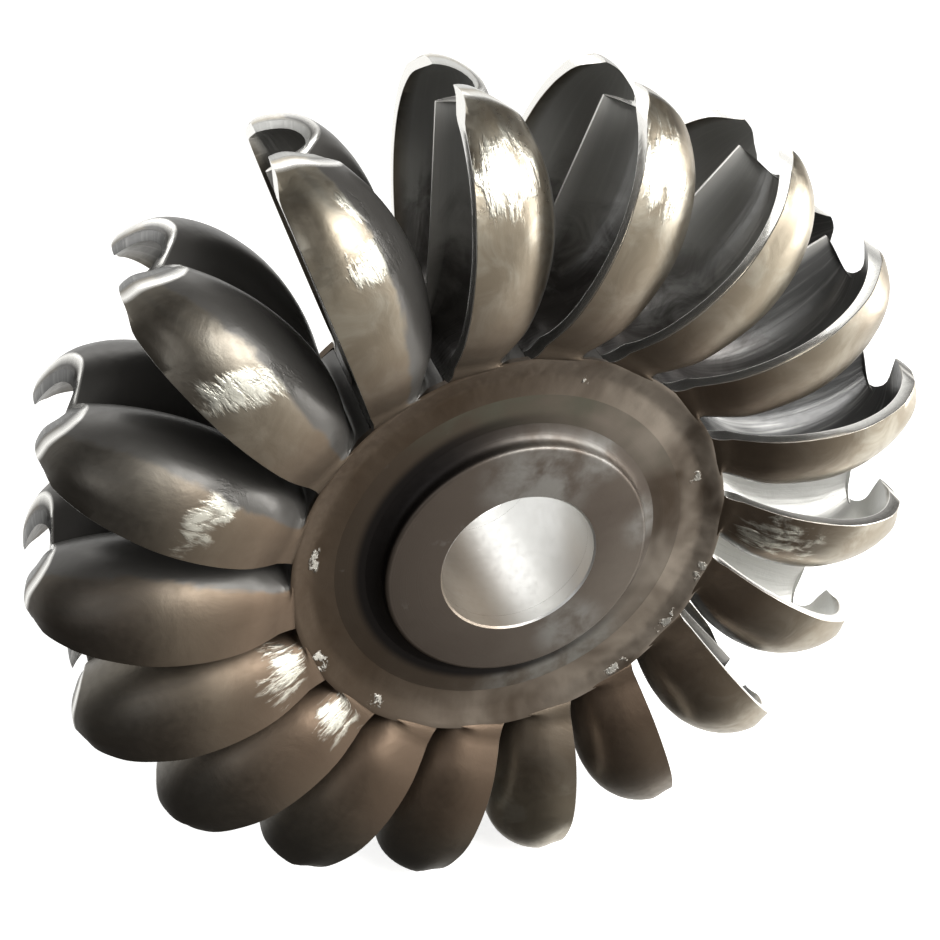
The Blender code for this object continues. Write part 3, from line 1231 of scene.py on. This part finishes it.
@dataclass
class RootWelds:
    """The ground weld where the buckets' roots meet the disc, on both faces."""

    # How high the weld ripples, and where its noise is read on the rear face
    ripple: float = 0.0007
    seed: Place = (3.1, 7.7, 1.3)
    # The ring's hidden back: how far its inner end lies in from the disc's face and its
    # outer end out from it, and how much narrower than the ring it is
    sunk: float = 0.004
    inset: float = 0.002
    # How far the ring stands out from the disc's face at each radius
    section: tuple[Point, ...] = (
        (0.3000, 0.0001),
        (0.3080, 0.0006),
        (0.3160, 0.0013),
        (0.3240, 0.0021),
        (0.3320, 0.0030),
        (0.3380, 0.0042),
        (0.3430, 0.0060),
        (0.3490, 0.0085),
        (0.3560, 0.0115),
        (0.3630, 0.0148),
        (0.3690, 0.0176),
        (0.3725, 0.0180),
    )
    # Bright lumps: angle, radius, half length in degrees, half width, strength
    beads: tuple[tuple[float, float, float, float, float], ...] = (
        (19.0, 0.331, 3.4, 0.012, 1.0),
        (74.0, 0.331, 1.6, 0.020, 0.7),
        (172.0, 0.335, 6.0, 0.011, 0.9),
        (205.0, 0.360, 4.5, 0.016, 1.0),
        (229.0, 0.355, 3.5, 0.016, 1.0),
        (307.0, 0.359, 5.5, 0.010, 1.0),
        (327.0, 0.359, 6.0, 0.011, 1.0),
        (346.0, 0.362, 5.0, 0.010, 0.9),
    )
    lathe: Lathe = field(default_factory=lambda: Lathe(720))
    finish: WeldFinish = field(default_factory=WeldFinish)

    def build(self) -> list[bpy.types.Object]:
        """Builds the weld ring of each face.

        Returns:
            The two rings.
        """
        material = self.finish.material()
        made = []
        for face in Face:
            sign = face.value
            profile = [(r, sign * (DISC_HALF + high)) for r, high in self.section]
            profile.append((self.section[-1][0] - self.inset, sign * (DISC_HALF + self.sunk)))
            profile.append((self.section[0][0] + self.inset, sign * (DISC_HALF - self.sunk)))
            lift = partial(self.lift, sign)
            name = f"root_weld_{face.name.lower()}"
            ring = self.lathe.build(name, profile, material, Slot.DISC, lift)
            self.dress(ring)
            made.append(ring)
        return made

    def lift(self, sign: int, angle: float, k: int) -> float:
        """Ripples of the weld, none at its hidden back.

        Args:
            sign: the side of the wheel.
            angle: round the wheel.
            k: the point's number in the profile.

        Returns:
            What is added to y.
        """
        steps = len(self.section) - 1
        if k > steps:
            return 0.0
        place = Vector((9.0 * math.cos(angle), 9.0 * math.sin(angle), 0.35 * k))
        place += Vector(self.seed) * sign
        swell = noise.noise(place * 1.7) + 0.5 * noise.noise(place * 5.1)
        share = 0.8 * math.sin(math.pi * k / steps) + 0.2 * (k > 0)
        return sign * self.ripple * swell * share

    def dress(self, ring: bpy.types.Object) -> None:
        """Marks where the bright lumps are.

        Args:
            ring: the weld ring.
        """
        places = np.array([vertex.co for vertex in ring.data.vertices])
        angle = np.degrees(np.arctan2(places[:, 2], places[:, 0]))
        radius = np.hypot(places[:, 0], places[:, 2])
        marks = np.zeros(len(places))
        for at, r, long, wide, strength in self.beads:
            off = ((angle - at + 180.0) % 360.0 - 180.0) / long
            aside = (radius - r) / wide
            marks = np.maximum(marks, strength * (1.0 - off**2 - aside**2))
        keep(ring.data, Mark.GROUND, marks)


@dataclass(frozen=True)
class Glow:
    """A soft bright side of the room."""

    towards: Place
    low: float
    high: float
    colour: Colour


@dataclass(frozen=True)
class Light:
    """A soft rectangular light that points at the middle of the wheel."""

    name: str
    place: Place
    size: Point
    power: float
    colour: Colour = (1.0, 0.99, 0.97)


@dataclass
class Studio:
    """Pale floor, soft lights and the camera."""

    place: Place = (-0.614333, -1.595760, 1.209487)
    aim: Place = (0.986718, -0.058889, -0.309685)
    lens: float = 46.4228
    sensor: float = 36.0
    shift: float = -0.004140
    floor_drop: float = 0.0006
    floor_half: float = 40.0
    dim: Colour = (0.070, 0.065, 0.060)
    glows: tuple[Glow, ...] = (
        Glow((0.45, -0.50, 0.74), 0.55, 0.98, (0.40, 0.40, 0.39)),
        Glow((0.72, 0.25, -0.58), 0.55, 0.94, (1.60, 1.57, 1.50)),
        Glow((0.62, -0.76, -0.26), 0.60, 0.99, (0.52, 0.50, 0.47)),
        Glow((-0.25, 0.93, 0.10), 0.35, 0.85, (1.10, 1.10, 1.08)),
    )
    lights: tuple[Light, ...] = (
        Light("key", (1.6, -2.2, 2.6), (2.4, 1.8), 120.0),
        Light("side", (3.2, -0.6, 0.9), (1.6, 2.4), 90.0),
        Light("fill", (-2.6, -2.4, 1.6), (2.0, 2.0), 12.0, (0.97, 0.98, 1.0)),
        Light("back", (-0.6, 2.8, 2.4), (2.6, 1.6), 14.0),
    )

    def camera(self) -> None:
        """Puts the camera where the photograph was taken."""
        data = bpy.data.cameras.new("view")
        data.sensor_width = self.sensor
        data.lens = self.lens
        data.shift_x = self.shift
        data.clip_end = 100.0
        made = bpy.data.objects.new("view", data)
        made.location = self.place
        made.rotation_euler = Euler(self.aim)
        bpy.context.scene.collection.objects.link(made)
        bpy.context.scene.camera = made

    def floor(self, low: float) -> None:
        """A wide pale floor under the wheel.

        Args:
            low: the height of the wheel's lowest point.
        """
        tree = Tree(bpy.data.materials.new("floor_pale"))
        tree.surface(Base_Color=(0.93, 0.93, 0.92), Roughness=0.9)
        tree.surface(Emission_Color=(1.0, 1.0, 1.0), Emission_Strength=0.75)
        mesh = bpy.data.meshes.new("floor")
        half = self.floor_half
        corners = [(-half, -half, 0.0), (half, -half, 0.0), (half, half, 0.0), (-half, half, 0.0)]
        mesh.from_pydata(corners, [], [(0, 1, 2, 3)])
        mesh.materials.append(tree.owner)
        made = bpy.data.objects.new("floor", mesh)
        made.location.z = low - self.floor_drop
        made.visible_glossy = False
        made.visible_diffuse = False
        bpy.context.scene.collection.objects.link(made)
        made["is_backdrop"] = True

    def hang(self, light: Light) -> None:
        """Puts a light in its place.

        Args:
            light: its sizes, in metres and watts.
        """
        data = bpy.data.lights.new(light.name, "AREA")
        data.shape = "RECTANGLE"
        data.size, data.size_y = light.size
        data.energy = light.power
        data.color = light.colour
        made = bpy.data.objects.new(light.name, data)
        made.location = light.place
        made.rotation_euler = (-Vector(light.place)).to_track_quat("-Z", "Y").to_euler()
        bpy.context.scene.collection.objects.link(made)

    def world(self) -> None:
        """A dim room with a few soft bright sides, which the steel reflects."""
        tree = Tree(bpy.data.worlds.new("room"), "Background", "Generated")
        total: object = self.dim
        for glow in self.glows:
            near = tree.facing(Vector(glow.towards).normalized())
            inputs = {"Value": near, "From Min": glow.low, "From Max": glow.high}
            share = tree.node("MapRange", "Result", inputs, interpolation_type="SMOOTHERSTEP")
            inputs = {0: glow.colour, 1: share, 2: total}
            total = tree.node("VectorMath", "Vector", inputs, operation="MULTIPLY_ADD")
        tree.surface(Color=total)
        bpy.context.scene.world = tree.owner

    def build(self, low: float) -> None:
        """Sets up the studio.

        Args:
            low: the height of the wheel's lowest point.
        """
        self.camera()
        self.floor(low)
        self.world()
        for light in self.lights:
            self.hang(light)
        bpy.context.scene.view_settings.view_transform = "Standard"


def main() -> None:
    """Loads the frame, builds every piece and logs it."""
    logging.basicConfig(level=logging.INFO, format="%(name)s: %(message)s")
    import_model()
    for group in (Centre(), RootWelds(), Buckets()):
        for made in group.build():
            LOG.info("%s, %d faces", made.name, len(made.data.polygons))
    bpy.context.view_layer.update()
    after = [list(corner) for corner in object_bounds()]
    Studio().build(after[0][2])
    LOG.info("visual %s", after)


if __name__ == "__main__":
    main()
